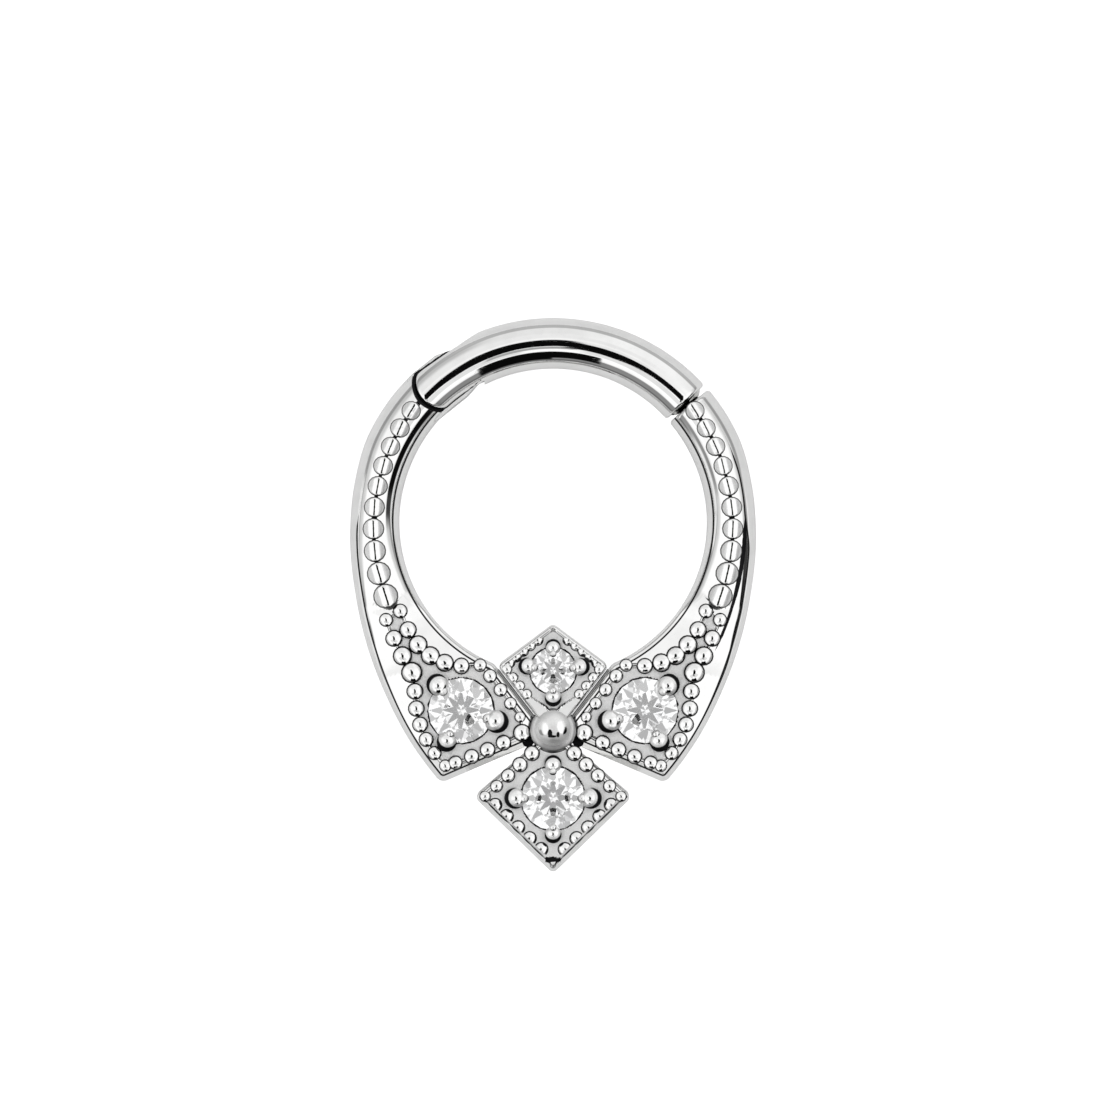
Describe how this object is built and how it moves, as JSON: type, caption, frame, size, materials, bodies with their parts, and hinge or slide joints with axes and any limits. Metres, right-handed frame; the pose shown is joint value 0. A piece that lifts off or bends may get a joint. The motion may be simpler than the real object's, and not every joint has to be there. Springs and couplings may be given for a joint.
{
  "type": "clicker ring",
  "caption": "Hinged segment ring for a piercing: a cast band with milgrain rows and prong-set round stones in kite plates, and a plain bar that swings open.",
  "frame": {"origin": "on the flat back, at the middle of the box round the closed ring", "axes": "+X to the right of the front, +Y from the cluster to the bar, +Z out of the front face"},
  "size_m": [0.0106, 0.0144, 0.0022],
  "materials": {
    "metal": "mirror polish",
    "stone": "faceted, clear"
  },
  "bodies": {
    "ring": {"ring_body": "metal", "stone_left": "stone", "stone_right": "stone", "stone_upper": "stone", "stone_lower": "stone"},
    "segment": {"hinge_segment": "metal", "hinge_pin": "metal"}
  },
  "joints": [
    {"name": "segment_hinge", "type": "hinge", "parent": "ring", "child": "segment", "pos_m": [-0.00289, 0.00554, 0.0007], "axis": [0, 0, 1], "range_deg": [0, 80]}
  ]
}
